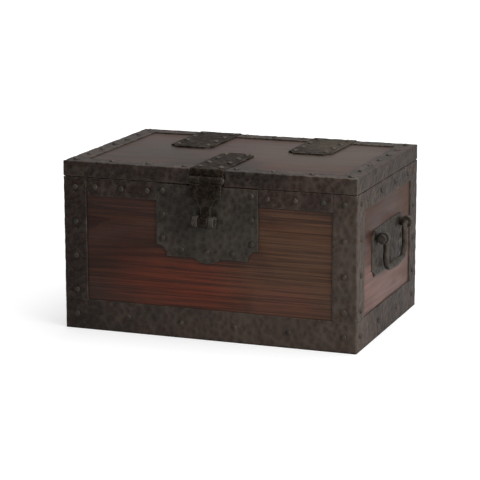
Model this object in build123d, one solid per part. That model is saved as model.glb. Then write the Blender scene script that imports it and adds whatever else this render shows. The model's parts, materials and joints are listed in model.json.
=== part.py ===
from build123d import *
import math
import os

# Iron-bound coin chest. X is the width, Y the depth with the front at -Y, and Z is up.
# The origin is the middle of the base, on the surface that the chest stands on.

# Case boards
case_width = 416.0
case_depth = 283.0
wall_height = 212.0
board_thickness = 20.0
bottom_thickness = 16.0
bottom_rebate = 8.0
finger_height = 30.0

# Lid boards
lid_gap = 0.3
lid_thickness = 20.0
batten_width = 30.0
batten_thickness = 14.0
batten_chamfer = 2.8
batten_end_gap = 6.0
batten_side_gap = 44.0

# Iron bands
strap_thickness = 2.0
strap_bend = 1.6
strap_gap = 0.4
corner_strap_width = 32.0
base_band_height = 42.0
rim_band_height = 24.0
lid_flange_width = 24.0
lid_skirt_drop = 19.0

# Nails with faceted heads
nail_radius = 4.2
nail_crown_radius = 2.3
nail_height = 2.2
nail_facets = 6
nail_pitch = 46.0
base_nail_pitch = 74.0
nail_inset = 9.0

# Lid hinges
hinge_thickness = 3.0
hinge_width = 63.0
hinge_spacing = 176.0
hinge_lid_length = 125.0
hinge_back_length = 86.0
hinge_notch = 9.0
knuckle_radius = 5.5
knuckle_gap = 0.3
knuckle_end_gap = 0.5
hinge_pin_radius = 2.6
pin_clearance = 0.06
pin_head_height = 2.0
pin_head_gap = 0.3

# Hasp
hasp_strap_width = 48.0
hasp_strap_length = 125.0
hasp_knuckle_radius = 5.0
hasp_pin_radius = 2.2
hasp_knuckle_height = 8.0
hasp_thickness = 3.5
hasp_width = 44.0
hasp_shield_height = 36.0
hasp_shield_notch = 13.0
hasp_neck_width = 14.0
hasp_side_gap = 1.0

# Lock plate and its eye staples
lock_plate_width = 145.0
lock_plate_height = 98.0
lock_plate_thickness = 2.5
lock_plate_drop = 1.0
lock_plate_notch = 15.0
lock_lobe_radius = 30.0
lock_lobe_depth = 7.0
padlock_eye_drop = 47.0
eye_radius = 8.0
padlock_bore_radius = 4.5
staple_width = 7.0
staple_stand_off = 0.6
staple_shank_width = 6.4

# Bail handles
pivot_height = 140.0
pivot_reach = 10.0
post_spacing = 114.0
post_width = 8.0
post_eye_radius = 8.5
eye_neck_share = 0.6
post_shank_width = 6.4
bail_radius = 4.0
bail_facets = 8
bail_end_run = 1.0
bail_clearance = 0.08
bail_drop = 46.0
bail_flare = 6.0
bail_elbow_radius = 8.0
bail_corner_radius = 18.0
bail_grip_radius = 6.0
bail_knob_radius = 6.2
bail_knob_length = 5.0
bail_knob_chamfer = 1.2
bail_knob_gap = 0.6
handle_plate_width = 146.0
handle_plate_height = 64.0
handle_plate_thickness = 2.0
handle_plate_notch = 9.0
handle_plate_drop = 21.0

# Clinched ends of the shanks, inside the case
shank_clearance = 0.1
rove_width = 14.0
rove_thickness = 2.0
clinch_height = 2.4
clinch_spread = 40.0

# Places worked out from the sizes above
half_width = case_width / 2
half_depth = case_depth / 2
case_top = wall_height
lid_bottom = case_top + lid_gap
lid_top = lid_bottom + lid_thickness
half_inner_width = half_width - board_thickness
half_inner_depth = half_depth - board_thickness
hinge_axis_offset = knuckle_radius + knuckle_gap
hinge_axis_y = half_depth + hinge_axis_offset
hinge_pin_head = hinge_axis_offset - strap_thickness - pin_head_gap
hasp_axis_offset = hasp_knuckle_radius + knuckle_gap
hasp_axis_y = -half_depth - hasp_axis_offset
hasp_axis_z = lid_bottom + hasp_knuckle_height
hasp_pin_head = hasp_axis_offset - strap_thickness - pin_head_gap
lock_face_y = -half_depth - lock_plate_thickness
padlock_axis_y = lock_face_y - staple_stand_off - eye_radius
padlock_eye_height = case_top - padlock_eye_drop
pivot_x = half_width + handle_plate_thickness + pivot_reach


def block(x_range, y_range, z_range):
    """Box from one corner to the other."""
    sizes = [high - low for low, high in (x_range, y_range, z_range)]
    middle = [(high + low) / 2 for low, high in (x_range, y_range, z_range)]
    return Pos(*middle) * Box(*sizes)


def rod(start_x, end_x, y, z, radius):
    """Round bar along X."""
    bar = Cylinder(radius, end_x - start_x, rotation=(0, 90, 0))
    return Pos((start_x + end_x) / 2, y, z) * bar


def evenly(start, end, pitch):
    """Places from start to end, about one pitch apart."""
    steps = max(1, round(abs(end - start) / pitch))
    return [start + (end - start) * step / steps for step in range(steps + 1)]


# Case: four walls with finger joints, and a bottom let into their rebate
finger_count = 2 * int(wall_height / finger_height / 2) + 1
finger = wall_height / finger_count


def finger_blocks(x_sides, y_sides, keeps_lowest):
    """Every second finger of the chosen corners, as blocks to cut away."""
    blocks = []
    for x_side in x_sides:
        for y_side in y_sides:
            for index in range(int(keeps_lowest), finger_count, 2):
                place = Pos(
                    x_side * (half_width - board_thickness / 2),
                    y_side * (half_depth - board_thickness / 2),
                    (index + 0.5) * finger,
                )
                blocks.append(place * Box(board_thickness, board_thickness, finger))
    return blocks


def make_bottom():
    """Bottom board, wider than the space inside by the rebate all round."""
    half_x = half_inner_width + bottom_rebate
    half_y = half_inner_depth + bottom_rebate
    return block((-half_x, half_x), (-half_y, half_y), (0, bottom_thickness))


def make_long_wall(y_side, bottom):
    """Front or back wall, which owns the lowest finger of each corner."""
    place = Pos(0, y_side * (half_depth - board_thickness / 2), wall_height / 2)
    board = place * Box(case_width, board_thickness, wall_height)
    return board - finger_blocks((-1, 1), (y_side,), keeps_lowest=True) - bottom


def make_short_wall(x_side, bottom):
    """Left or right wall, which fills the gaps between the long walls' fingers."""
    place = Pos(x_side * (half_width - board_thickness / 2), 0, wall_height / 2)
    board = place * Box(board_thickness, case_depth, wall_height)
    return board - finger_blocks((x_side,), (-1, 1), keeps_lowest=False) - bottom


# Angle bands that fold round an edge and meet at mitres in the corners
def four_wedges(half_x, half_y, reach, z_range):
    """Prisms that part a ring of bands at its corner mitres, by side."""
    inner_x = half_x - reach
    inner_y = half_y - reach
    outer = [(-half_x, -half_y), (half_x, -half_y), (half_x, half_y), (-half_x, half_y)]
    inner = [(-inner_x, -inner_y), (inner_x, -inner_y), (inner_x, inner_y), (-inner_x, inner_y)]
    wedges = {}
    for index, side in enumerate(("front", "right", "back", "left")):
        after = (index + 1) % len(outer)
        corners = (outer[index], outer[after], inner[after], inner[index])
        face = make_face(Polyline(*corners, close=True))
        wedges[side] = extrude(Pos(0, 0, z_range[0]) * face, z_range[1] - z_range[0])
    return wedges


def make_base_bands():
    """Flat bands round the foot of the case, folded sharp and mitred at the corners."""
    outer_x = half_width + strap_thickness
    outer_y = half_depth + strap_thickness
    height = (0, base_band_height)
    ring = block((-outer_x, outer_x), (-outer_y, outer_y), height)
    ring = fillet(ring.edges().filter_by(Axis.Z), strap_bend)
    ring -= block((-half_width, half_width), (-half_depth, half_depth), height)
    reach = 2 * strap_thickness
    wedges = four_wedges(outer_x, outer_y, reach, height)
    return {side: ring & wedge for side, wedge in wedges.items()}


def make_corner_strap(x_side, y_side):
    """Angle strap up one corner of the case, from the base band to the lid."""
    outer = Pos(half_width - corner_strap_width, half_depth - corner_strap_width) * Rectangle(
        corner_strap_width + strap_thickness,
        corner_strap_width + strap_thickness,
        align=(Align.MIN, Align.MIN),
    )
    fold = outer.vertices().sort_by(lambda point: point.X + point.Y)[-1]
    outer = fillet(fold, strap_bend)
    inner = Pos(half_width - corner_strap_width, half_depth - corner_strap_width) * Rectangle(
        corner_strap_width,
        corner_strap_width,
        align=(Align.MIN, Align.MIN),
    )
    foot = base_band_height + strap_gap
    strap = extrude(Pos(0, 0, foot) * (outer - inner), case_top - foot)
    if x_side < 0:
        strap = mirror(strap, about=Plane.YZ)
    if y_side < 0:
        strap = mirror(strap, about=Plane.XZ)
    return strap


def make_front_rim_band(x_side):
    """Band along the rim of the front, from the corner strap to the lock plate."""
    near = lock_plate_width / 2 + strap_gap
    far = half_width - corner_strap_width - strap_gap
    x_range = sorted((x_side * near, x_side * far))
    y_range = (-half_depth - strap_thickness, -half_depth)
    return block(x_range, y_range, (case_top - rim_band_height, case_top))


def make_side_rim_band(x_side):
    """Band along the rim of a side, between its corner straps."""
    half_run = half_depth - corner_strap_width - strap_gap
    x_range = sorted((x_side * half_width, x_side * (half_width + strap_thickness)))
    return block(x_range, (-half_run, half_run), (case_top - rim_band_height, case_top))


# Lid: one board, two battens, and angle bands along its four edges
def make_lid_board():
    """Lid board, as wide and deep as the case."""
    return block((-half_width, half_width), (-half_depth, half_depth), (lid_bottom, lid_top))


def make_batten(x_side):
    """Batten across the underside of the lid, clear of the walls."""
    outer = half_inner_width - batten_side_gap
    x_range = sorted((x_side * outer, x_side * (outer - batten_width)))
    half_run = half_inner_depth - batten_end_gap
    z_range = (lid_bottom - batten_thickness, lid_bottom)
    batten = block(x_range, (-half_run, half_run), z_range)
    foot = batten.faces().sort_by(Axis.Z)[0].edges()
    return chamfer(foot, batten_chamfer)


def strap_slot(middle_x, width, y_side):
    """Space that a hinge leaf or the hasp strap takes out of the lid's bands."""
    half_slot = width / 2 + strap_gap
    y_range = sorted((y_side * (half_inner_depth - lid_flange_width), y_side * case_depth))
    z_range = (0, lid_top + case_depth)
    return block((middle_x - half_slot, middle_x + half_slot), y_range, z_range)


def make_lid_bands():
    """Angle bands of the lid, parted at the mitres, the hinges and the hasp strap."""
    outer_x = half_width + strap_thickness
    outer_y = half_depth + strap_thickness
    skirt_foot = lid_top - lid_skirt_drop
    height = (skirt_foot, lid_top + strap_thickness)
    ring = block((-outer_x, outer_x), (-outer_y, outer_y), height)
    folds = ring.edges().filter_by(Axis.Z) + ring.faces().sort_by(Axis.Z)[-1].edges()
    ring = fillet(folds, strap_bend)
    ring -= block((-half_width, half_width), (-half_depth, half_depth), (skirt_foot, lid_top))
    flange_x = half_width - lid_flange_width
    flange_y = half_depth - lid_flange_width
    ring -= block((-flange_x, flange_x), (-flange_y, flange_y), height)
    reach = lid_flange_width + 2 * strap_thickness
    wedges = four_wedges(outer_x, outer_y, reach, height)
    bands = {side: ring & wedge for side, wedge in wedges.items()}
    front = bands["front"] - strap_slot(0, hasp_strap_width, -1)
    back = bands["back"]
    for x_side in (-1, 1):
        back = back - strap_slot(x_side * hinge_spacing / 2, hinge_width, 1)
    names = {
        "lid_strap_left": [bands["left"]],
        "lid_strap_right": [bands["right"]],
    }
    for name, solid in zip(("left", "right"), front.solids().sort_by(Axis.X)):
        names["lid_strap_front_" + name] = [solid]
    for name, solid in zip(("left", "middle", "right"), back.solids().sort_by(Axis.X)):
        names["lid_strap_back_" + name] = [solid]
    return names


# Rolled knuckles: the outer two belong to the leaf that stays, the middle one to the
# leaf that turns, and a pin with two heads holds them
def notch_corners(plate, corners, radius, axis_direction):
    """Cuts a quarter-round out of each corner of a plate, square to it."""
    for corner in corners:
        plate -= Plane(origin=corner, z_dir=axis_direction).location * Cylinder(radius, case_width)
    return plate


def knuckle_range(width, index):
    """From where to where along X the knuckle lies, in thirds of the width."""
    third = width / 3
    start = -width / 2 + index * third
    low_gap = knuckle_end_gap / 2 if index > 0 else 0
    high_gap = knuckle_end_gap / 2 if index < 2 else 0
    return start + low_gap, start + third - high_gap


def roll_knuckles(leaf, width, own, y, z, radius, pin_radius):
    """Adds the leaf's own knuckles, clears the other leaf's, and bores them all."""
    for index in range(3):
        start, end = knuckle_range(width, index)
        if index in own:
            leaf += rod(start, end, y, z, radius)
        else:
            reach = knuckle_end_gap / 2
            leaf -= rod(start - reach, end + reach, y, z, radius + 2 * knuckle_gap)
    return leaf - rod(-width, width, y, z, pin_radius + pin_clearance)


def fold_profile(edge_y, y_side, length, thickness, foot_z):
    """Section of a strap that lies on the lid and folds down over its edge."""
    inner = Polyline(
        (edge_y - y_side * length, lid_top),
        (edge_y, lid_top),
        (edge_y, foot_z),
        (edge_y + y_side * thickness, foot_z),
        (edge_y + y_side * thickness, lid_top + thickness),
        (edge_y - y_side * length, lid_top + thickness),
        close=True,
    )
    section = make_face(inner)
    fold = section.vertices().sort_by(lambda point: point.Y + y_side * point.X)[-1]
    return fillet(fold, thickness)


def make_folded_strap(y_side, length, width, thickness, foot_z, notch):
    """Strap over an edge of the lid, with notched corners at its inner end."""
    edge_y = y_side * half_depth
    section = fold_profile(edge_y, y_side, length, thickness, foot_z)
    strap = extrude(Plane.YZ * section, width / 2, both=True)
    inner_end = edge_y - y_side * length
    corners = [(side * width / 2, inner_end, lid_top) for side in (-1, 1)]
    return notch_corners(strap, corners, notch, (0, 0, 1))


def make_pin(width, y, z, radius, head_radius):
    """Pin along X, peened to a head at each end."""
    half = width / 2 + knuckle_end_gap / 2
    pin = rod(-half, half, y, z, radius)
    for side in (-1, 1):
        ends = sorted((side * half, side * (half + pin_head_height)))
        head = rod(*ends, y, z, head_radius)
        rim = head.faces().sort_by(Axis.X)[-1 if side > 0 else 0].edges()
        pin += chamfer(rim, pin_head_height / 2)
    return pin


def make_hinge_lid_leaf():
    """Leaf on the lid, with the middle knuckle."""
    leaf = make_folded_strap(
        1, hinge_lid_length, hinge_width, hinge_thickness, case_top, hinge_notch
    )
    return roll_knuckles(
        leaf, hinge_width, (1,), hinge_axis_y, case_top, knuckle_radius, hinge_pin_radius
    )


def make_hinge_back_leaf():
    """Leaf on the back board, with the two outer knuckles."""
    half = hinge_width / 2
    foot = case_top - hinge_back_length
    leaf = block((-half, half), (half_depth, half_depth + hinge_thickness), (foot, case_top))
    corners = [(side * half, half_depth, foot) for side in (-1, 1)]
    leaf = notch_corners(leaf, corners, hinge_notch, (0, 1, 0))
    return roll_knuckles(
        leaf, hinge_width, (0, 2), hinge_axis_y, case_top, knuckle_radius, hinge_pin_radius
    )


def make_hasp_strap():
    """Strap on the lid that carries the hasp at the front edge."""
    strap = make_folded_strap(
        -1, hasp_strap_length, hasp_strap_width, hinge_thickness, hasp_axis_z, hinge_notch
    )
    return roll_knuckles(
        strap,
        hasp_strap_width,
        (0, 2),
        hasp_axis_y,
        hasp_axis_z,
        hasp_knuckle_radius,
        hasp_pin_radius,
    )


# The hasp hangs from its pin, narrows below its shield and ends in the eye
def make_hasp():
    """Hasp with one knuckle, a notched shield, a neck and the eye for a padlock's bar."""
    half = hasp_width / 2
    shield_foot = hasp_axis_z - hasp_shield_height
    y_range = (hasp_axis_y - hasp_thickness / 2, hasp_axis_y + hasp_thickness / 2)
    shield = block((-half, half), y_range, (shield_foot, hasp_axis_z - hasp_knuckle_radius))
    corners = [(side * half, hasp_axis_y, shield_foot) for side in (-1, 1)]
    shield = notch_corners(shield, corners, hasp_shield_notch, (0, 1, 0))
    knuckle = knuckle_range(hasp_strap_width, 1)
    tongue = block(knuckle, y_range, (shield_foot, hasp_axis_z))
    half_neck = hasp_neck_width / 2
    neck = block((-half_neck, half_neck), y_range, (padlock_eye_height, shield_foot + hasp_thickness))
    hasp = shield + tongue + neck
    hasp += rod(-half_neck, half_neck, padlock_axis_y, padlock_eye_height, eye_radius)
    hasp = roll_knuckles(
        hasp,
        hasp_strap_width,
        (1,),
        hasp_axis_y,
        hasp_axis_z,
        hasp_knuckle_radius,
        hasp_pin_radius,
    )
    return hasp - rod(-half, half, padlock_axis_y, padlock_eye_height, padlock_bore_radius)


# Eye staples and handle posts: an eye that stands on a plate, with its shank driven
# through plate and board and clinched over a rove
def make_eye(eye_size, bore, width, reach, shank_width, grip):
    """Eye with its bore along X, standing on the plane Z = 0, with its shank below."""
    eye = Pos(0, 0, reach) * Cylinder(eye_size, width, rotation=(0, 90, 0))
    half_neck = eye_neck_share * eye_size
    neck = block((-width / 2, width / 2), (-half_neck, half_neck), (0, reach))
    depth = grip + rove_thickness
    shank = Pos(0, 0, -depth / 2) * Box(shank_width, shank_width, depth)
    foot = Plane(origin=(0, 0, -depth), z_dir=(0, 0, -1)) * Rectangle(shank_width, shank_width)
    clinch = extrude(foot, clinch_height, taper=-clinch_spread)
    hole = Pos(0, 0, reach) * Cylinder(bore, 2 * width, rotation=(0, 90, 0))
    return eye + neck + shank + clinch - hole


def make_rove(shank_width, grip):
    """Square washer, set cornerwise, under the clinched end of a shank."""
    plate = Rot(0, 0, 45) * Box(rove_width, rove_width, rove_thickness)
    hole = shank_width + 2 * shank_clearance
    plate -= Box(hole, hole, 2 * rove_thickness)
    return Pos(0, 0, -grip - rove_thickness / 2) * plate


def shank_hole(shank_width):
    """Square hole for a shank, long enough for any board and plate."""
    hole = shank_width + 2 * shank_clearance
    return Box(hole, hole, 4 * board_thickness)


def staple_seat(x_side):
    """Seat of one eye staple on the lock plate, facing forwards."""
    x = x_side * (hasp_neck_width / 2 + hasp_side_gap + staple_width / 2)
    plane = Plane(origin=(x, lock_face_y, padlock_eye_height), x_dir=(1, 0, 0), z_dir=(0, -1, 0))
    return plane.location


def post_seat(x_side, y_side):
    """Seat of one handle post on its back plate, facing outwards."""
    origin = (
        x_side * (half_width + handle_plate_thickness),
        y_side * post_spacing / 2,
        pivot_height,
    )
    return Plane(origin=origin, x_dir=(0, 1, 0), z_dir=(x_side, 0, 0)).location


def make_lock_plate():
    """Lock plate with notched lower corners and a lobe in the middle of its foot."""
    top = case_top - lock_plate_drop
    foot = top - lock_plate_height
    sheet = Pos(0, (top + foot) / 2) * Rectangle(lock_plate_width, lock_plate_height)
    sheet += Pos(0, foot - lock_lobe_depth + lock_lobe_radius) * Circle(lock_lobe_radius)
    for side in (-1, 1):
        sheet -= Pos(side * lock_plate_width / 2, foot) * Circle(lock_plate_notch)
    front = Plane(origin=(0, -half_depth, 0), x_dir=(1, 0, 0), z_dir=(0, -1, 0))
    return extrude(front * sheet, lock_plate_thickness)


def make_handle_plate(x_side):
    """Back plate behind a bail, with four notched corners."""
    sheet = Rectangle(handle_plate_width, handle_plate_height)
    for y_side in (-1, 1):
        for z_side in (-1, 1):
            corner = Pos(y_side * handle_plate_width / 2, z_side * handle_plate_height / 2)
            sheet -= corner * Circle(handle_plate_notch)
    middle = (x_side * half_width, 0, pivot_height - handle_plate_drop)
    side = Plane(origin=middle, x_dir=(0, 1, 0), z_dir=(x_side, 0, 0))
    return extrude(side * sheet, handle_plate_thickness)


def make_bail(x_side):
    """Bail forged with eight flats and a swollen grip, and round where it turns."""
    shoulder = post_spacing / 2 - post_width / 2 - bail_knob_gap
    tip = post_spacing / 2 + post_width / 2 + bail_knob_gap
    elbow_turn = math.pi / 2 + math.atan2(bail_flare, bail_drop)
    arm = shoulder - bail_end_run - bail_elbow_radius * math.tan(elbow_turn / 2)
    foot = arm + bail_flare
    route = FilletPolyline(
        (-shoulder, 0),
        (-arm, 0),
        (-foot, -bail_drop),
        (foot, -bail_drop),
        (arm, 0),
        (shoulder, 0),
        radius=[bail_elbow_radius, bail_corner_radius, bail_corner_radius, bail_elbow_radius],
    )
    side = Plane(origin=(x_side * pivot_x, 0, pivot_height), x_dir=(0, 1, 0), z_dir=(1, 0, 0))
    wire = side * route
    section = RegularPolygon(bail_radius, bail_facets, major_radius=False, rotation=180 / bail_facets)
    start = Plane(origin=wire @ 0, x_dir=(1, 0, 0), z_dir=wire % 0)
    bail = sweep(start * section, path=wire)
    half_grip = foot - bail_corner_radius
    swell = RegularPolygon(bail_grip_radius, bail_facets, major_radius=False, rotation=180 / bail_facets)
    slope = math.degrees(math.atan2(bail_grip_radius - bail_radius, half_grip))
    for end in (-1, 1):
        middle = Plane(
            origin=(x_side * pivot_x, 0, pivot_height - bail_drop),
            x_dir=(1, 0, 0),
            z_dir=(0, end, 0),
        )
        bail += extrude(middle * swell, half_grip, taper=slope)
        journal = Cylinder(bail_radius, tip - shoulder, rotation=(90, 0, 0))
        along = end * (tip + shoulder) / 2
        bail += Pos(x_side * pivot_x, along, pivot_height) * journal
        knob = Cylinder(bail_knob_radius, bail_knob_length, rotation=(90, 0, 0))
        knob = chamfer(knob.edges(), bail_knob_chamfer)
        along = end * (tip + bail_knob_length / 2)
        bail += Pos(x_side * pivot_x, along, pivot_height) * knob
    return bail


# Nails: faceted heads, seated on the iron and shared out by the face they are on
def make_nail():
    """Forged nail head with flat facets, standing on the plane Z = 0."""
    slope_run = (nail_radius - nail_crown_radius) * math.cos(math.pi / nail_facets)
    slope = math.degrees(math.atan2(slope_run, nail_height))
    return extrude(RegularPolygon(nail_radius, nail_facets), nail_height, taper=slope)


nail = make_nail()


def nails_at(points, normal):
    """Nail heads on the given points of a face with the given outward normal."""
    return [Plane(origin=point, z_dir=normal).location * nail for point in points]


def case_face_nails(half_run, surface):
    """Nails of one face of the case: corner straps, base band and rim band."""
    column = half_run - corner_strap_width / 2
    low = base_band_height + nail_inset + nail_radius
    high = case_top - nail_inset - nail_radius
    spots = []
    for side in (-1, 1):
        for z in evenly(low, high, nail_pitch):
            spots.append((side * column, z))
    for place in evenly(-column, column, base_nail_pitch):
        spots.append((place, base_band_height / 2))
    return [surface(along, z) for along, z in spots]


def front_point(x, z):
    """Point on the face of the front's iron."""
    return (x, -half_depth - strap_thickness, z)


def back_point(x, z):
    """Point on the face of the back's iron."""
    return (x, half_depth + strap_thickness, z)


def left_point(y, z):
    """Point on the face of the left side's iron."""
    return (-half_width - strap_thickness, y, z)


def right_point(y, z):
    """Point on the face of the right side's iron."""
    return (half_width + strap_thickness, y, z)


rim_z = case_top - rim_band_height / 2
front_rim_start = lock_plate_width / 2 + nail_inset + nail_radius
front_rim_end = half_width - corner_strap_width - nail_inset - nail_radius
side_rim_end = half_depth - corner_strap_width - nail_inset - nail_radius

front_spots = case_face_nails(half_width, front_point)
for x_side in (-1, 1):
    for x in evenly(front_rim_start, front_rim_end, nail_pitch):
        front_spots.append(front_point(x_side * x, rim_z))
back_spots = case_face_nails(half_width, back_point)
left_spots = case_face_nails(half_depth, left_point)
right_spots = case_face_nails(half_depth, right_point)
for y in evenly(-side_rim_end, side_rim_end, base_nail_pitch):
    left_spots.append(left_point(y, rim_z))
    right_spots.append(right_point(y, rim_z))


def plate_nail_spots(half_across, low, high, rows):
    """Nail places along the two sides of a plate."""
    inset = nail_inset
    across = half_across - inset
    spots = []
    for side in (-1, 1):
        for row in range(rows):
            spots.append((side * across, low + (high - low) * row / (rows - 1)))
    return spots


def make_lock_nails():
    """Nails round the edge of the lock plate."""
    top = case_top - lock_plate_drop
    foot = top - lock_plate_height
    low = foot + lock_plate_notch + nail_inset
    spots = plate_nail_spots(lock_plate_width / 2, low, top - nail_inset, 3)
    spots.append((0, foot + nail_inset))
    for side in (-1, 1):
        spots.append((side * lock_plate_width / 4, foot + nail_inset))
    points = [(x, lock_face_y, z) for x, z in spots]
    return nails_at(points, (0, -1, 0))


def make_handle_nails(x_side):
    """Nails of a handle's back plate: two beside each post and two under the bail."""
    middle = pivot_height - handle_plate_drop
    low = middle - handle_plate_height / 2 + handle_plate_notch + nail_radius
    high = middle
    spots = plate_nail_spots(handle_plate_width / 2, low, high, 2)
    x = x_side * (half_width + handle_plate_thickness)
    return nails_at([(x, y, z) for y, z in spots], (x_side, 0, 0))


def make_leaf_nails():
    """Nails of the two hinge leaves on the back board."""
    low = case_top - hinge_back_length + hinge_notch + nail_radius
    high = case_top - lid_thickness - nail_inset
    face_y = half_depth + hinge_thickness
    points = []
    for x_side in (-1, 1):
        for x, z in plate_nail_spots(hinge_width / 2, low, high, 3):
            points.append((x_side * hinge_spacing / 2 + x, face_y, z))
    return nails_at(points, (0, 1, 0))


def make_lid_strap_nails():
    """Nails on top of the lid: through the hinge leaves, the hasp strap and the bands."""
    high_face = lid_top + hinge_thickness
    points = []
    leaf_low = half_depth - hinge_lid_length + hinge_notch + nail_radius
    leaf_high = half_depth - nail_inset - nail_radius
    for x_side in (-1, 1):
        for x, y in plate_nail_spots(hinge_width / 2, leaf_low, leaf_high, 4):
            points.append((x_side * hinge_spacing / 2 + x, y, high_face))
    strap_low = -half_depth + nail_inset + nail_radius
    strap_high = -half_depth + hasp_strap_length - hinge_notch - nail_radius
    for x, y in plate_nail_spots(hasp_strap_width / 2, strap_low, strap_high, 4):
        points.append((x, y, high_face))
    band_face = lid_top + strap_thickness
    row_y = half_depth - lid_flange_width / 2
    row_x = half_width - lid_flange_width / 2
    front_start = hasp_strap_width / 2 + nail_inset + nail_radius
    for x_side in (-1, 1):
        for x in evenly(front_start, row_x, nail_pitch):
            points.append((x_side * x, -row_y, band_face))
        for y in evenly(-row_y, row_y, nail_pitch)[1:]:
            points.append((x_side * row_x, y, band_face))
    inner_end = hinge_spacing / 2 - hinge_width / 2 - nail_inset - nail_radius
    for x in evenly(-inner_end, inner_end, nail_pitch):
        points.append((x, row_y, band_face))
    return nails_at(points, (0, 0, 1))


# The whole chest, node by node
bottom = make_bottom()
front_board = make_long_wall(-1, bottom)
for x_side in (-1, 1):
    front_board -= staple_seat(x_side) * shank_hole(staple_shank_width)
lock_plate = make_lock_plate()
for x_side in (-1, 1):
    lock_plate -= staple_seat(x_side) * shank_hole(staple_shank_width)

nodes = {
    "bottom_board": [bottom],
    "front_board": [front_board],
    "back_board": [make_long_wall(1, bottom)],
    "lid_board": [make_lid_board()],
    "lock_plate": [lock_plate],
    "lock_plate_nails": make_lock_nails(),
    "case_nails_front": nails_at(front_spots, (0, -1, 0)),
    "case_nails_back": nails_at(back_spots, (0, 1, 0)),
    "case_nails_left": nails_at(left_spots, (-1, 0, 0)),
    "case_nails_right": nails_at(right_spots, (1, 0, 0)),
    "hinge_back_nails": make_leaf_nails(),
    "lid_nails": make_lid_strap_nails(),
    "hasp_strap": [make_hasp_strap()],
    "hasp": [make_hasp()],
    "hasp_pin": [
        make_pin(hasp_strap_width, hasp_axis_y, hasp_axis_z, hasp_pin_radius, hasp_pin_head)
    ],
}

for side, band in make_base_bands().items():
    nodes["base_band_" + side] = [band]
for name, band in make_lid_bands().items():
    nodes[name] = band

staple_grip = lock_plate_thickness + board_thickness
post_grip = handle_plate_thickness + board_thickness
staple_roves = []
for x_name, x_side in (("left", -1), ("right", 1)):
    side_board = make_short_wall(x_side, bottom)
    handle_plate = make_handle_plate(x_side)
    posts = []
    roves = []
    for y_side in (-1, 1):
        seat = post_seat(x_side, y_side)
        side_board -= seat * shank_hole(post_shank_width)
        handle_plate -= seat * shank_hole(post_shank_width)
        posts.append(
            seat
            * make_eye(
                post_eye_radius,
                bail_radius + bail_clearance,
                post_width,
                pivot_reach,
                post_shank_width,
                post_grip,
            )
        )
        roves.append(seat * make_rove(post_shank_width, post_grip))
    nodes[x_name + "_board"] = [side_board]
    nodes["handle_plate_" + x_name] = [handle_plate]
    nodes["handle_posts_" + x_name] = posts
    nodes["handle_roves_" + x_name] = roves
    nodes["handle_bail_" + x_name] = [make_bail(x_side)]
    nodes["handle_nails_" + x_name] = make_handle_nails(x_side)
    nodes["lid_batten_" + x_name] = [make_batten(x_side)]
    nodes["rim_band_front_" + x_name] = [make_front_rim_band(x_side)]
    nodes["rim_band_" + x_name] = [make_side_rim_band(x_side)]
    for y_name, y_side in (("front", -1), ("back", 1)):
        name = "corner_strap_" + y_name + "_" + x_name
        nodes[name] = [make_corner_strap(x_side, y_side)]
    seat = staple_seat(x_side)
    staple = make_eye(
        eye_radius,
        padlock_bore_radius,
        staple_width,
        eye_radius + staple_stand_off,
        staple_shank_width,
        staple_grip,
    )
    nodes["staple_" + x_name] = [seat * staple]
    staple_roves.append(seat * make_rove(staple_shank_width, staple_grip))
    shift = Pos(x_side * hinge_spacing / 2, 0, 0)
    nodes["hinge_lid_leaf_" + x_name] = [shift * make_hinge_lid_leaf()]
    nodes["hinge_back_leaf_" + x_name] = [shift * make_hinge_back_leaf()]
    hinge_pin = make_pin(hinge_width, hinge_axis_y, case_top, hinge_pin_radius, hinge_pin_head)
    nodes["hinge_pin_" + x_name] = [shift * hinge_pin]
nodes["staple_roves"] = staple_roves

os.makedirs("parts", exist_ok=True)
for name, pieces in nodes.items():
    solids = [solid for piece in pieces for solid in piece.solids()]
    shape = solids[0] if len(solids) == 1 else Compound(solids)
    export_step(shape, "parts/" + name + ".step")
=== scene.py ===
import json
import math
import random

import bmesh
import bpy
import numpy as np
from mathutils import Matrix, Vector, geometry, noise

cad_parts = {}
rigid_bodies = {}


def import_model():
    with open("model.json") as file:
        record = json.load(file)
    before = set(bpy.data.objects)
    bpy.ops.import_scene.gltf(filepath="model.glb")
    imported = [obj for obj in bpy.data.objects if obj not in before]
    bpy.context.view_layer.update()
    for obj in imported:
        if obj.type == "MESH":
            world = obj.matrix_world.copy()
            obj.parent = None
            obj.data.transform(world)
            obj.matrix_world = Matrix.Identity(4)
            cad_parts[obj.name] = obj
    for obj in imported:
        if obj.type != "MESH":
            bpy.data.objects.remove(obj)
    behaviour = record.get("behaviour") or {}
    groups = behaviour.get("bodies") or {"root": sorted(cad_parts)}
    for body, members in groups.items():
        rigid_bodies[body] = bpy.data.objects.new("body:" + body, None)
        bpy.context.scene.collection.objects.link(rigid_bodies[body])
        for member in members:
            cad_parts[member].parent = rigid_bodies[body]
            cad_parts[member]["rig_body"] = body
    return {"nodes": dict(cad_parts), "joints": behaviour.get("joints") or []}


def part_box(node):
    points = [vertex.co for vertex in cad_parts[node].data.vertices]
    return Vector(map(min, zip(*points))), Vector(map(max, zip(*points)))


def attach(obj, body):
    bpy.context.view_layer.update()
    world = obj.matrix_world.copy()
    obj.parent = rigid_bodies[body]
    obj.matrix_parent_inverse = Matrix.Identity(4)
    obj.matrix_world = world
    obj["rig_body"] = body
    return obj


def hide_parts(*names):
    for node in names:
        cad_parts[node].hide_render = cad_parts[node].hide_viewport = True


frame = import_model()
bpy.context.view_layer.update()
nodes = frame["nodes"]
mm = 0.001

# Case walls. Four softwood boards, finger-jointed and glued at the corners. Outside
# they carry thin coats of dark red-brown lacquer, rubbed through where hands and
# years have worn it, and inside the wood is left bare.
wall_arris = 0.7
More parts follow.
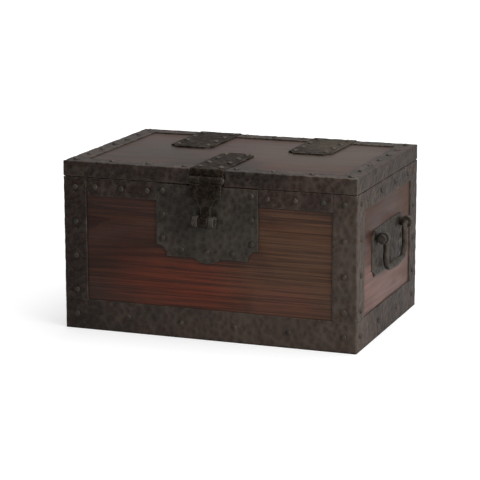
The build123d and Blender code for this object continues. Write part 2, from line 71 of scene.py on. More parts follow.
# Real growth rings are 1 to 3 mm wide, and fibres and scuffs are finer than 1 mm. All
# three are drawn coarser here, so that they show.
growth_ring = 6.0
fibre_width = 1.6
scuff_width = 2.2
ring_waver = 55.0
worn_patch = 55.0
ragged_edge = 34.0
plane_mark = 42.0
weld_reach = 0.001
flat_turn = math.radians(0.5)
arris_turn = math.radians(32)
crease_turn = math.radians(38)


def linear(colour):
    """Turns an sRGB hex colour into the linear one that a socket takes."""
    parts = [int(colour[start : start + 2], 16) / 255 for start in (1, 3, 5)]
    return [p / 12.92 if p < 0.04045 else ((p + 0.055) / 1.055) ** 2.4 for p in parts] + [1.0]


def add(tree, kind, inputs=(), out=0, **settings):
    """Adds a shader node with its settings, fills or links its sockets by name or number,
    and gives back one of its outputs."""
    made = tree.nodes.new("ShaderNode" + kind)
    for name, value in settings.items():
        setattr(made, name, value)
    for key, value in dict(inputs).items():
        if isinstance(value, bpy.types.NodeSocket):
            tree.links.new(value, made.inputs[key])
        else:
            made.inputs[key].default_value = value
    return made.outputs[out]


def new_finish(name):
    """Empty material: itself, its tree, its shader and the object's own coordinates."""
    finish = bpy.data.materials.new(name)
    finish.use_nodes = True
    tree = finish.node_tree
    return finish, tree, tree.nodes["Principled BSDF"], add(tree, "TexCoord", out="Object")


def drawn_out(grain, share):
    """Scale that draws a pattern out along the grain."""
    return [share if axis == grain else 1.0 for axis in range(3)]


def wood_figure(tree, place, grain, pith):
    """Growth rings and fibres of a sawn board, whose grain runs along one axis."""
    along = add(tree, "Mapping", {0: place, "Location": pith, "Scale": drawn_out(grain, 0.05)})
    waver = add(tree, "TexNoise", {0: along, "Scale": 1000 / ring_waver, "Detail": 2.0}, "Color")
    shift = {0: waver, 1: [0.02] * 3, 2: along}
    bent = add(tree, "VectorMath", shift, operation="MULTIPLY_ADD")
    reach = add(tree, "VectorMath", {0: bent}, "Value", operation="LENGTH")
    turns = add(tree, "Math", {0: reach, 1: 1000 / growth_ring}, operation="MULTIPLY")
    season = add(tree, "Math", {0: turns}, operation="FRACT")
    rings = add(tree, "Math", {0: season, 1: 2.5}, operation="POWER")
    thin = add(tree, "Mapping", {0: place, "Scale": drawn_out(grain, 0.011)})
    fine = {0: thin, "Scale": 1000 / fibre_width, "Detail": 6.0, "Roughness": 0.62}
    fibres = add(tree, "TexNoise", fine)
    return rings, fibres


def bare_wood_colour(tree, rings, fibres):
    """Unfinished softwood gone brown: paler early wood, darker late wood, dark streaks."""
    ringed = {0: rings, 6: linear("#80603F"), 7: linear("#5E4029")}
    colour = add(tree, "Mix", ringed, 2, data_type="RGBA")
    streaks = add(tree, "MapRange", {0: fibres, 1: 0.45, 2: 0.7, 4: 0.45})
    return add(tree, "Mix", {0: streaks, 6: colour, 7: linear("#4A3626")}, 2, data_type="RGBA")


def inside_box(tree, place, low, high):
    """1 for the faces that lie inside a box, and 0 for the others."""
    middle = [(a + b) / 2 for a, b in zip(low, high)]
    half = [(b - a) / 2 for a, b in zip(low, high)]
    shifted = add(tree, "VectorMath", {0: place, 1: middle}, operation="SUBTRACT")
    away = add(tree, "VectorMath", {0: shifted}, operation="ABSOLUTE")
    past = add(tree, "VectorMath", {0: away, 1: half}, operation="SUBTRACT")
    x, y, z = add(tree, "SeparateXYZ", {0: past}).node.outputs
    widest = add(tree, "Math", {0: x, 1: y}, operation="MAXIMUM")
    widest = add(tree, "Math", {0: widest, 1: z}, operation="MAXIMUM")
    return add(tree, "Math", {0: widest, 1: 0.0}, operation="LESS_THAN")


def with_patches(tree, place, colour, patches):
    """Lays patches with ragged edges over a colour. Each is its tone, how strong it is in
    its middle, and its middle and half size in millimetres."""
    for tone, strength, middle, half in patches:
        at = {0: place, 1: [m * mm for m in middle]}
        shifted = add(tree, "VectorMath", at, operation="SUBTRACT")
        sized = add(tree, "VectorMath", {0: shifted, 1: [h * mm for h in half]}, operation="DIVIDE")
        reach = add(tree, "VectorMath", {0: sized}, "Value", operation="LENGTH")
        ragged = add(tree, "TexNoise", {0: place, "Scale": 1000 / ragged_edge, "Detail": 4.0})
        edge = add(tree, "Math", {0: reach, 1: ragged}, operation="ADD")
        fade = {0: edge, 1: 1.8, 2: 0.8, 4: strength}
        share = add(tree, "MapRange", fade, interpolation_type="SMOOTHSTEP")
        colour = add(tree, "Mix", {0: share, 6: colour, 7: linear(tone)}, 2, data_type="RGBA")
    return colour


def lacquered_wood(name, grain, pith, bare_low, bare_high, patches=()):
    """Thin lacquer over softwood, brushed on and rubbed down, now old. It gives a deep
    brown with a soft gloss, drier and paler where it is worn. Bare inside the box."""
    finish, tree, shader, place = new_finish(name)
    rings, fibres = wood_figure(tree, place, grain, pith)
    ringed = {0: rings, 6: linear("#502E1F"), 7: linear("#2E1810")}
    colour = add(tree, "Mix", ringed, 2, data_type="RGBA")
    colour = with_patches(tree, place, colour, patches)
    streaks = add(tree, "MapRange", {0: fibres, 1: 0.42, 2: 0.62, 4: 0.7})
    colour = add(tree, "Mix", {0: streaks, 6: colour, 7: linear("#190E09")}, 2, data_type="RGBA")
    splits = add(tree, "MapRange", {0: fibres, 1: 0.66, 2: 0.7, 4: 0.85})
    colour = add(tree, "Mix", {0: splits, 6: colour, 7: linear("#0F0906")}, 2, data_type="RGBA")
    along = add(tree, "Mapping", {0: place, "Scale": drawn_out(grain, 0.35)})
    thinned_film = add(tree, "TexNoise", {0: along, "Scale": 1000 / worn_patch, "Detail": 6.0})
    bared = {0: thinned_film, 1: 0.52, 2: 0.74}
    worn = add(tree, "MapRange", bared, interpolation_type="SMOOTHSTEP")
    worn_share = add(tree, "Math", {0: worn, 1: 0.4}, operation="MULTIPLY")
    colour = add(tree, "Mix", {0: worn_share, 6: colour, 7: linear("#5E4533")}, 2, data_type="RGBA")
    grit = {0: place, "Scale": 1000 / scuff_width, "Detail": 5.0, "Roughness": 0.7}
    scuffs = add(tree, "MapRange", {0: add(tree, "TexNoise", grit), 1: 0.6, 2: 0.75, 4: 0.35})
    colour = add(tree, "Mix", {0: scuffs, 6: colour, 7: linear("#6B5140")}, 2, data_type="RGBA")
    # Ambient occlusion darkens the wood towards #1B1410 where other parts crowd it: grime, and
    # painted
    # shade in the recesses against the iron.
    grime_and_shade = add(tree, "AmbientOcclusion", {"Distance": 14 * mm}, "AO", samples=8)
    grime_and_shade = add(tree, "MapRange", {0: grime_and_shade, 1: 0.95, 2: 0.45, 4: 0.7})
    colour = add(tree, "Mix", {0: grime_and_shade, 6: colour, 7: linear("#1B1410")}, 2, data_type="RGBA")
    bare = inside_box(tree, place, bare_low, bare_high)
    dry = bare_wood_colour(tree, rings, fibres)
    colour = add(tree, "Mix", {0: bare, 6: colour, 7: dry}, 2, data_type="RGBA")
    tree.links.new(colour, shader.inputs["Base Color"])
    film = add(tree, "MapRange", {0: worn, 3: 0.45, 4: 0.66})
    rough = add(tree, "Mix", {0: bare, 2: film, 3: 0.8}, data_type="FLOAT")
    tree.links.new(rough, shader.inputs["Roughness"])
    shader.inputs["IOR"].default_value = 1.48
    shader.inputs["Specular IOR Level"].default_value = 0.4
    waves = add(tree, "TexNoise", {0: place, "Scale": 1000 / plane_mark, "Detail": 1.0})
    planed = add(tree, "Bump", {"Height": waves, "Strength": 0.4, "Distance": 1.0 * mm})
    raised = {"Height": fibres, "Strength": 0.35, "Distance": 0.2 * mm, "Normal": planed}
    tree.links.new(add(tree, "Bump", raised), shader.inputs["Normal"])
    return finish


def welded(node):
    """Mesh of a CAD node, with its doubled vertices joined."""
    shape = bmesh.new()
    shape.from_mesh(nodes[node].data)
    bmesh.ops.remove_doubles(shape, verts=shape.verts, dist=weld_reach * mm)
    return shape


def eased_copy(node, arris, finish):
    """Stands for a CAD node: the same solid, with its sharp edges worn round."""
    shape = welded(node)
    bmesh.ops.dissolve_limit(shape, angle_limit=flat_turn, verts=shape.verts, edges=shape.edges)
    paired = [edge for edge in shape.edges if len(edge.link_faces) == 2]
    sharp = [edge for edge in paired if edge.calc_face_angle() > arris_turn]
    bmesh.ops.bevel(
        shape,
        geom=sharp,
        offset=arris * mm,
        segments=2,
        profile=0.55,
        affect="EDGES",
        clamp_overlap=True,
    )
    bmesh.ops.recalc_face_normals(shape, faces=shape.faces)
    settle(node + "_worn", shape, finish, node)


def settle(name, shape, finish, node):
    """Makes an object of a mesh, with its finish, in place of a node and on its body."""
    mesh = bpy.data.meshes.new(name)
    shape.to_mesh(mesh)
    shape.free()
    mesh.shade_smooth()
    mesh.set_sharp_from_angle(angle=crease_turn)
    mesh.materials.append(finish)
    piece = bpy.data.objects.new(name, mesh)
    bpy.context.scene.collection.objects.link(piece)
    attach(piece, nodes[node]["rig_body"])
    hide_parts(node)


# The lacquer stops at the inner faces, which the bottom board passes by its rebate.
inner_low, inner_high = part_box("bottom_board")
rebate = 8.0 * mm
skin = 0.4 * mm
bare_low = (inner_low.x + rebate - skin, inner_low.y + rebate - skin, -1.0)
bare_high = (inner_high.x - rebate + skin, inner_high.y - rebate + skin, 1.0)
# The lacquer has kept its red at the foot of the front, and is worn brown at the right.
# The front is also painted darker at the left and paler at the right, as light from the right
# falls on it: painted shade and painted light, along with the worn lacquer.
front_patches = [
    ("#78341E", 0.8, (-32, -142, 74), (125, 60, 44)),
    ("#674732", 0.75, (140, -142, 110), (110, 60, 120)),
    ("#3B1A13", 0.5, (-150, -142, 150), (70, 60, 90)),
    ("#703E30", 0.65, (110, -142, 52), (52, 60, 38)),
]
# The right side is paler and greyer low down: dust, and painted sheen of its lacquer. It is darker
# near its top front corner.
right_patches = [
    ("#7E564B", 0.85, (208, 0, 68), (60, 180, 66)),
    ("#432820", 0.6, (208, -60, 170), (60, 90, 50)),
]
# Where each board's pith lay, in metres, which way its grain runs, and its patches.
wall_finishes = {
    "front_board": ((0.04, 0.19, -0.16), 0, front_patches),
    "back_board": ((-0.1, -0.2, -0.05), 0, ()),
    "left_board": ((0.26, 0.02, -0.13), 1, ()),
    "right_board": ((-0.25, 0.1, -0.06), 1, right_patches),
}
for wall, (pith, grain, patches) in wall_finishes.items():
    finish = lacquered_wood(wall + "_lacquer", grain, pith, bare_low, bare_high, patches)
    eased_copy(wall, wall_arris, finish)

# Bottom board: bare softwood let into the rebate of the walls. It is never finished,
# so it is dry and matt, and shows its grain.
bottom_arris = 0.3


def bare_wood(name, grain, pith):
    """Softwood as planed, with no finish, browned by age and handling."""
    finish, tree, shader, place = new_finish(name)
    rings, fibres = wood_figure(tree, place, grain, pith)
    tree.links.new(bare_wood_colour(tree, rings, fibres), shader.inputs["Base Color"])
    shader.inputs["Roughness"].default_value = 0.8
    grained = add(tree, "Bump", {"Height": fibres, "Strength": 0.6, "Distance": 0.3 * mm})
    tree.links.new(grained, shader.inputs["Normal"])
    return finish


bottom_finish = bare_wood("bottom_bare_wood", 0, (0.0, 0.05, 0.14))
eased_copy("bottom_board", bottom_arris, bottom_finish)

# Base bands. Strips of sheet iron, hammered flat, nailed round the foot of the case and
# mitred at its corners. The smith's blows leave shallow dishes, and the sheared edges
# are eased with a file.
band_thickness = 2.0
band_fold = 2.4
sheet_pitch = 3.0
fold_pitch = 0.6
sheet_rim = 0.7
rim_ease = 0.45
calm_rim = 2.0
least_radius = 0.05
deepest_share = 0.45
lattice_gap = 0.6
least_run = 0.25
hammer_mark = 11.0
hammer_depth = 0.5
dish_reach = 0.62
sheet_swell = 0.12
peen_mark = 8.0
scale_patch = 26.0
# Rust and pits are finer than 0.5 mm on the real sheet, and coarser here to show.
rust_grain = 2.0


def forged_iron(name, black, brown, rub, gloss, patches=()):
    """Wrought iron, blackened by forge scale and oil. It is nearly black and dull, goes
    brown where damp has rusted it, and its edges and the ridges between the hammer's
    marks are rubbed to grey metal."""
    finish, tree, shader, place = new_finish(name)
    clouds = add(tree, "TexNoise", {0: place, "Scale": 1000 / scale_patch, "Detail": 4.0})
    grit = add(tree, "TexNoise", {0: place, "Scale": 1000 / rust_grain, "Detail": 4.0})
    marks = {0: place, "Scale": 1000 / peen_mark, "Smoothness": 0.6}
    peened = add(tree, "TexVoronoi", marks, feature="SMOOTH_F1")
    browned = add(tree, "MapRange", {0: clouds, 1: 0.4, 2: 0.62}, interpolation_type="SMOOTHSTEP")
    tones = {0: browned, 6: linear(black), 7: linear(brown)}
    colour = add(tree, "Mix", tones, 2, data_type="RGBA")
    colour = with_patches(tree, place, colour, patches)
    rust = add(tree, "MapRange", {0: grit, 1: 0.5, 2: 0.72, 4: 0.6})
    colour = add(tree, "Mix", {0: rust, 6: colour, 7: linear("#553A27")}, 2, data_type="RGBA")
    hollow = add(tree, "MapRange", {0: peened, 1: 0.4, 2: 0.05, 4: 0.12})
    colour = add(tree, "Mix", {0: hollow, 6: colour, 7: linear("#171512")}, 2, data_type="RGBA")
    # Ambient occlusion darkens the iron towards #1C1511 at overlaps and by the nail heads: grime,
    # and
    # painted shade where the parts crowd each other.
    grime_and_shade = add(tree, "AmbientOcclusion", {"Distance": 7 * mm}, "AO", samples=6)
    grime_and_shade = add(tree, "MapRange", {0: grime_and_shade, 1: 0.8, 2: 0.4, 4: 0.6})
    colour = add(tree, "Mix", {0: grime_and_shade, 6: colour, 7: linear("#1C1511")}, 2, data_type="RGBA")
    rounded = add(tree, "Bevel", {"Radius": 1.5 * mm}, samples=6)
    faced = add(tree, "NewGeometry", out="Normal")
    turned = add(tree, "VectorMath", {0: rounded, 1: faced}, "Value", operation="DOT_PRODUCT")
    edge = add(tree, "MapRange", {0: turned, 1: 0.99, 2: 0.88, 4: rub})
    ridge = add(tree, "MapRange", {0: peened, 1: 0.4, 2: 0.65, 4: 0.14 * rub})
    uneven = add(tree, "MapRange", {0: clouds, 1: 0.35, 2: 0.6, 3: 0.2})
    rubbed = add(tree, "Math", {0: edge, 1: ridge}, operation="MAXIMUM")
    rubbed = add(tree, "Math", {0: rubbed, 1: uneven}, operation="MULTIPLY")
    colour = add(tree, "Mix", {0: rubbed, 6: colour, 7: linear("#8F897D")}, 2, data_type="RGBA")
    tree.links.new(colour, shader.inputs["Base Color"])
    metal = add(tree, "MapRange", {0: rubbed, 4: 0.9})
    tree.links.new(metal, shader.inputs["Metallic"])
    rough = add(tree, "MapRange", {0: grit, 3: 0.42, 4: 0.75})
    tree.links.new(rough, shader.inputs["Roughness"])
    shader.inputs["Specular IOR Level"].default_value = gloss
    beaten = add(tree, "Bump", {"Height": peened, "Strength": 0.9, "Distance": 2.2 * mm})
    pitted = {"Height": grit, "Strength": 0.6, "Distance": 0.4 * mm, "Normal": beaten}
    tree.links.new(add(tree, "Bump", pitted), shader.inputs["Normal"])
    return finish


def box_mm(node):
    """Lowest and highest corners of a CAD node in millimetres."""
    low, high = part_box(node)
    return low / mm, high / mm


def stepped(start, end, pitch):
    """Places from start to end, about a pitch apart."""
    count = max(1, round(abs(end - start) / pitch))
    return [start + (end - start) * index / count for index in range(count + 1)]


def hammered(point):
    """How deep the hammer has dished the sheet at a point, in millimetres."""
    spread = noise.voronoi(point / hammer_mark)[0][0]
    dish = max(0.0, 1.0 - (spread / dish_reach) ** 2)
    swell = 0.5 + 0.5 * noise.noise(point / (4 * hammer_mark))
    return hammer_depth * dish + sheet_swell * swell


def bend_line(start, heading, runs, side):
    """Line of a folded sheet's face. Runs are (length, radius): radius 0 is straight,
    above 0 turns left. Returns a function from the length along it to point and normal."""

    def at(length):
        point, angle = Vector(start), math.radians(heading)
        for index, (run, radius) in enumerate(runs):
            step = length if index == len(runs) - 1 else min(run, length)
            if radius:
                turn = step / radius
                point += radius * Vector(
                    (
                        math.sin(angle + turn) - math.sin(angle),
                        math.cos(angle) - math.cos(angle + turn),
                    )
                )
                angle += turn
            else:
                point += step * Vector((math.cos(angle), math.sin(angle)))
            length -= step
        normal = side * Vector((-math.sin(angle), math.cos(angle)))
        return point, normal

    return at


def cut_pattern(outline, columns, rows):
    """Net of triangles for a sheet cut to an outline: the outline, a line one rim's
    width inside it, and a lattice of the columns and rows between."""
    edge = []
    for (x0, y0), (x1, y1) in zip(outline, outline[1:] + outline[:1]):
        shares = {0.0}
        for levels, low, high in ((columns, x0, x1), (rows, y0, y1)):
            if abs(high - low) > 0.01:
                shares |= {(level - low) / (high - low) for level in levels}
        length = math.hypot(x1 - x0, y1 - y0)
        last = -1.0
        for share in sorted(shares):
            if 0 <= share < 1 - least_run / length and share - last > least_run / length:
                edge.append((x0 + (x1 - x0) * share, y0 + (y1 - y0) * share))
                last = share
    edge = np.array(edge)
    after = np.roll(edge, -1, axis=0)
    run = after - edge
    run /= np.linalg.norm(run, axis=1)[:, None]
    inward = np.stack([-run[:, 1], run[:, 0]], axis=1)
    both = inward + np.roll(inward, 1, axis=0)
    both /= np.maximum(np.sum(both * both, axis=1)[:, None], 1.0) / 2
    ring = edge + both * sheet_rim
    grid = np.array([(x, y) for x in columns for y in rows])

    def inside_and_far(points):
        """Whether each point is inside the outline, and how far it is from it."""
        crossed = np.zeros(len(points), bool)
        least = np.full(len(points), 1e9)
        for a, b in zip(edge, after):
            if a[1] != b[1]:
                over = (points[:, 1] >= min(a[1], b[1])) & (points[:, 1] < max(a[1], b[1]))
                meet = a[0] + (points[:, 1] - a[1]) / (b[1] - a[1]) * (b[0] - a[0])
                crossed ^= over & (points[:, 0] < meet)
            line = b - a
            share = np.clip((points - a) @ line / (line @ line), 0, 1)
            least = np.minimum(least, np.linalg.norm(points - a - share[:, None] * line, axis=1))
        return crossed, least

    held, far = inside_and_far(grid)
    grid = grid[held & (far > sheet_rim + lattice_gap)]
    count = len(edge)
    loops = [(i, (i + 1) % count) for i in range(count)]
    loops += [(count + a, count + b) for a, b in loops]
    points = [Vector(p) for p in np.concatenate([edge, ring, grid])]
    verts, _, faces, _, _, _ = geometry.delaunay_2d_cdt(points, loops, [], 0, 1e-4)
    verts = np.array([tuple(v) for v in verts])
    middles = np.array([verts[list(f)].mean(axis=0) for f in faces])
    held, _ = inside_and_far(middles)
    faces = [tuple(f) for f, keep in zip(faces, held) if keep]
    _, far = inside_and_far(verts)
    return verts, faces, far


def even(thickness):
    """Thickness of a sheet that is the same all over."""
    return lambda across: thickness


def forge_sheet(node, finish, outline, columns, rows, line, place, thick):
    """Sheet-iron piece in place of a node: its flat pattern, which columns and rows divide,
    is bent along a line, put in its place on the chest, and hammered on its face."""
    flat, faces, far = cut_pattern(outline, columns, rows)
    shape = bmesh.new()
    outer, inner = [], []
    for (along, across), rim in zip(flat.tolist(), far.tolist()):
        point, normal = line(across)
        spot = place(along, point, 0.0)
        ease = rim_ease * max(0.0, 1 - rim / sheet_rim)
        depth = ease + hammered(spot) * min(1.0, rim / calm_rim)
        below = thick(across)
        depth = min(depth, deepest_share * below)
        outer.append(shape.verts.new(place(along, point - depth * normal, depth) * mm))
        inner.append(shape.verts.new(place(along, point - below * normal, below) * mm))
    seen = {}
    for face in faces:
        shape.faces.new([outer[i] for i in face])
        shape.faces.new([inner[i] for i in reversed(face)])
        for a, b in zip(face, face[1:] + face[:1]):
            seen[(a, b)] = True
    for a, b in seen:
        if (b, a) not in seen:
            shape.faces.new([outer[b], outer[a], inner[a], inner[b]])
    bmesh.ops.delete(shape, geom=[v for v in shape.verts if not v.link_faces], context="VERTS")
    bmesh.ops.recalc_face_normals(shape, faces=shape.faces)
    settle(node + "_iron", shape, finish, node)


def round_corner(x, y, corner, radius, depth):
    """Rounds a band's vertical corner, seen from above."""
    over_x = abs(x) - corner[0] + radius
    over_y = abs(y) - corner[1] + radius
    if over_x > 0 and over_y > 0:
        reach = math.hypot(over_x, over_y)
        keep = min(1.0, max(radius - depth, least_radius) / reach)
        x = math.copysign(corner[0] - radius + over_x * keep, x)
        y = math.copysign(corner[1] - radius + over_y * keep, y)
    return x, y


def ring_place(side, corner):
    """Puts a point of a band on its side of the chest: along it, outward and up. A corner
    is how far out the bands reach along x and y."""
    long_way = side in ("front", "back")
    half, out = corner if long_way else corner[::-1]

    def place(along, point, depth):
        limit = half - (out - point[0])
        along = max(-limit, min(limit, along))
        if long_way:
            x, y = along, point[0] * (-1 if side == "front" else 1)
        else:
            x, y = point[0] * (-1 if side == "left" else 1), along
        x, y = round_corner(x, y, corner, band_fold, depth)
        return Vector((x, y, point[1]))

    return place


def end_columns(low, high, fine_low, fine_high):
    """Columns of a band's lattice, close together where an end turns a corner."""
    columns = stepped(low, high, sheet_pitch)
    for fine, end, way in ((fine_low, low, 1), (fine_high, high, -1)):
        if fine:
            columns += [end + way * step * band_fold / 4 for step in range(1, 5)]
    return sorted(columns)


def folded(first, second):
    """Runs, rows and length of a strip folded once, with its rows close at the fold."""
    fold = band_fold * math.pi / 2
    flat = first - band_fold
    leg = second - band_fold
    total = flat + fold + leg
    rows = stepped(0, flat, sheet_pitch)
    rows += stepped(flat, flat + fold, fold_pitch)[1:]
    rows += stepped(flat + fold, total, sheet_pitch)[1:]
    return [(flat, 0), (fold, -band_fold), (leg, 0)], rows, total


# The bands are darker at the left and paler along the foot and at the right: oil and handling,
# darkest in the middle of the lid's front edge, by the hasp.
# with painted shade and painted light, as light falls from the right and off the floor. They are
iron_patches = [
    ("#1E120E", 0.95, (-210, -140, 120), (70, 60, 160)),
    ("#24150F", 0.85, (-120, -144, 206), (120, 40, 34)),
    ("#4E4038", 0.8, (120, -140, 10), (240, 90, 52)),
    ("#4E423A", 0.7, (205, -135, 130), (60, 60, 100)),
    ("#33211A", 0.6, (110, -144, 206), (90, 40, 30)),
    ("#17110E", 0.9, (40, -140, 232), (70, 40, 24)),
]
strap_iron = forged_iron("strap_iron", "#2A2421", "#3A2C25", 0.7, 0.35, iron_patches)
base_low, base_high = box_mm("base_band_front")
base_corner = (box_mm("base_band_right")[1].x, -base_low.y)
height = base_high.z
for side in ("front", "right", "back", "left"):
    half, out = base_corner if side in ("front", "back") else base_corner[::-1]
    forge_sheet(
        "base_band_" + side,
        strap_iron,
        [(-half, 0.0), (half, 0.0), (half, height), (-half, height)],
        end_columns(-half, half, True, True),
        stepped(0, height, sheet_pitch),
        bend_line((out, 0.0), 90, [(height, 0)], -1),
        ring_place(side, base_corner),
        even(band_thickness),
    )


# Corner straps: angle straps folded from the same sheet, nailed up the four corners
# from the base bands to the rim.
def corner_place(x_side, y_side):
    """Puts a point of a corner strap in its corner: up it, and outward both ways."""
    return lambda along, point, depth: Vector((x_side * point[0], y_side * point[1], along))


for x_name, x_side in (("left", -1), ("right", 1)):
    for y_name, y_side in (("front", -1), ("back", 1)):
        node = "corner_strap_" + y_name + "_" + x_name
        low, high = box_mm(node)
        leg = high.x - low.x
        reach_x = high.x if x_side > 0 else -low.x
        reach_y = high.y if y_side > 0 else -low.y
        runs, rows, total = folded(leg, leg)
        forge_sheet(
            node,
            strap_iron,
            [(low.z, 0.0), (high.z, 0.0), (high.z, total), (low.z, total)],
            stepped(low.z, high.z, sheet_pitch),
            rows,
            bend_line((reach_x - leg, reach_y), 0, runs, 1),
            corner_place(x_side, y_side),
            even(band_thickness),
        )

# Rim bands: flat strips of the same sheet, nailed along the rim of the front and of both
# sides, between the corner straps.
for node, side in (
    ("rim_band_front_left", "front"),
    ("rim_band_front_right", "front"),
    ("rim_band_left", "left"),
    ("rim_band_right", "right"),
):
    low, high = box_mm(node)
    if side == "front":
        start, end, out = low.x, high.x, -low.y
    else:
        start, end, out = low.y, high.y, max(abs(low.x), abs(high.x))
    height = high.z - low.z
    forge_sheet(
        node,
        strap_iron,
        [(start, 0.0), (end, 0.0), (end, height), (start, height)],
        stepped(start, end, sheet_pitch),
        stepped(0, height, sheet_pitch),
        bend_line((out, low.z), 90, [(height, 0)], -1),
        ring_place(side, base_corner),
        even(band_thickness),
    )

# Lock plate: a broad plate of thicker sheet on the front, with notched lower corners and
# a lobe at its foot. Two eye staples are driven through it and clinched over roves.
lock_notch = 15.0
lobe_radius = 30.0
lobe_depth = 7.0
staple_arris = 0.9
rove_arris = 0.4
# A plate ends short of the corners, so for it they count as out of reach.
no_corner = 300.0


def arc(middle, radius, start, end, step=12):
    """Points of an arc, from one angle to another in degrees."""
    turns = [math.radians(angle) for angle in stepped(start, end, step)]
    return [(middle[0] + radius * math.cos(t), middle[1] + radius * math.sin(t)) for t in turns]


# Painted shadow and light: the lock plate is darker at the left, where the hasp's shadow falls in
# is darker too.
# light from the right, and paler at the lower right, where that light falls. The right handle plate
plate_patches = [
    ("#1F1E1A", 0.7, (-30, -144, 190), (60, 40, 50)),
    ("#413B35", 0.6, (50, -144, 130), (80, 40, 50)),
    ("#1D1B17", 0.8, (225, 0, 140), (40, 70, 45)),
]
plate_iron = forged_iron("plate_iron", "#2B2924", "#39322A", 0.7, 0.35, plate_patches)
low, high = box_mm("lock_plate")
half = high.x
foot = low.z + lobe_depth
lobe_z = low.z + lobe_radius
lobe_half = math.degrees(math.acos((lobe_z - foot) / lobe_radius))
outline = (
    arc((-half, foot), lock_notch, 90, 0)
    + arc((0, lobe_z), lobe_radius, 270 - lobe_half, 270 + lobe_half, 8)
    + arc((half, foot), lock_notch, 180, 90)
    + [(half, high.z), (-half, high.z)]
)
forge_sheet(
    "lock_plate",
    plate_iron,
    outline,
    stepped(-half, half, sheet_pitch),
    stepped(low.z, high.z, sheet_pitch),
    bend_line((-low.y, 0.0), 90, [(high.z, 0)], -1),
    ring_place("front", (no_corner, -low.y)),
    even(high.y - low.y),
)
small_iron = forged_iron("small_iron", "#2B2A25", "#38312A", 0.9, 0.4)
for node in ("staple_left", "staple_right"):
    eased_copy(node, staple_arris, small_iron)
eased_copy("staple_roves", rove_arris, small_iron)

# Handle plates: flat plates with four notched corners behind the bails. The bails turn in
# two posts each, whose shanks go through the side and are clinched inside over roves.
plate_notch = 9.0
post_arris = 1.0
for x_name in ("left", "right"):
    node = "handle_plate_" + x_name
    low, high = box_mm(node)
    half, out = high.y, max(abs(low.x), abs(high.x))
    outline = (
        arc((-half, low.z), plate_notch, 90, 0)
        + arc((half, low.z), plate_notch, 180, 90)
        + arc((half, high.z), plate_notch, 270, 180)
        + arc((-half, high.z), plate_notch, 360, 270)
    )
    forge_sheet(
        node,
        plate_iron,
        outline,
        stepped(-half, half, sheet_pitch),
        stepped(low.z, high.z, sheet_pitch),
        bend_line((out, 0.0), 90, [(high.z, 0)], -1),
        ring_place(x_name, (out, no_corner)),
        even(high.x - low.x),
    )
    eased_copy("handle_posts_" + x_name, post_arris, small_iron)
    eased_copy("handle_roves_" + x_name, rove_arris, small_iron)

# Bails: round bar forged with a swollen grip, bent to a drop handle. Each end passes
# through its post and is upset into a small knob, so that it can't come out.
bail_radius = 3.95
grip_radius = 5.9
knob_radius = 6.1
shoulder = 52.4
arm = 42.3
spread = 48.3
drop = 46.0
elbow = 8.0
bow = 18.0
knob_start = 61.6
knob_end = 66.6
knob_rise = 0.9
knob_fall = 1.6
knob_flat = 0.55
knob_lip = 0.7
grip_curve = 0.85
bail_sides = 20
bar_pitch = 1.6
bar_hammering = 0.28
eye_run = 10.5
least_step = 0.12
turns_about = {joint["name"]: [c / mm for c in joint["pos_m"]] for joint in frame["joints"]}


def rounded_route(points, radii, pitch):
    """Points along straight runs joined by arcs."""
    route = [Vector(points[0])]
    for before, here, after, radius in zip(points, points[1:], points[2:], radii):
        before, here, after = Vector(before), Vector(here), Vector(after)
        back, ahead = (before - here).normalized(), (after - here).normalized()
        turn = math.pi - back.angle(ahead)
        cut = radius * math.tan(turn / 2)
        middle = here + (back + ahead).normalized() * math.hypot(radius, cut)
        first, last = here + back * cut - middle, here + ahead * cut - middle
        for share in stepped(0, 1, pitch / (radius * turn)):
            route.append(middle + first.slerp(last, share).normalized() * radius)
    route.append(Vector(points[-1]))
    filled = [route[0]]
    for a, b in zip(route, route[1:]):
        for share in stepped(0, 1, pitch / max((b - a).length, 0.01))[1:]:
            filled.append(a.lerp(b, share))
    return filled


def bail_radius_at(point):
    """Radius of the bar at a point of its route."""
    across = abs(point.x)
    if across > knob_start - 0.01:
        rise = min(1.0, (across - knob_start) / knob_rise)
        fall = min(1.0, max(0.0, (knob_end - across) / knob_fall))
        crown = knob_flat + (1 - knob_flat) * fall
        return bail_radius + (knob_radius - bail_radius) * min(rise, crown)
    if point.y < -drop + 0.5 and across < spread - bow:
        swell = 1 - across / (spread - bow)
        return bail_radius + (grip_radius - bail_radius) * swell**grip_curve
    return bail_radius


def bail_route():
    """Middle of the bar from one knob to the other, with x along the chest's side, y up and
    the pivot at the origin."""
    left_bends = [(-knob_end, 0, 0), (-arm, 0, 0), (-spread, -drop, 0)]
    right_bends = [(-x, y, z) for x, y, z in reversed(left_bends)]
    route = rounded_route(left_bends + right_bends, [elbow, bow, bow, elbow], bar_pitch)
    # Each knob takes rings at its start and end, where its radius changes.
    knob = knob_end - knob_start
    for past in (0.0, knob_rise / 3, knob_rise, knob - knob_fall, knob - knob_lip):
        route += [Vector((side * (knob_start + past), 0, 0)) for side in (1, -1)]
    ends = [p for p in route if p.y > -0.001 and abs(p.x) > arm + eye_run]
    bent = [p for p in route if p not in ends]
    ends.sort(key=lambda p: p.x)
    route = [p for p in ends if p.x < 0] + bent + [p for p in ends if p.x > 0]
    spaced = [route[0]]
    for p in route[1:]:
        if (p - spaced[-1]).length > least_step:
            spaced.append(p)
    return spaced


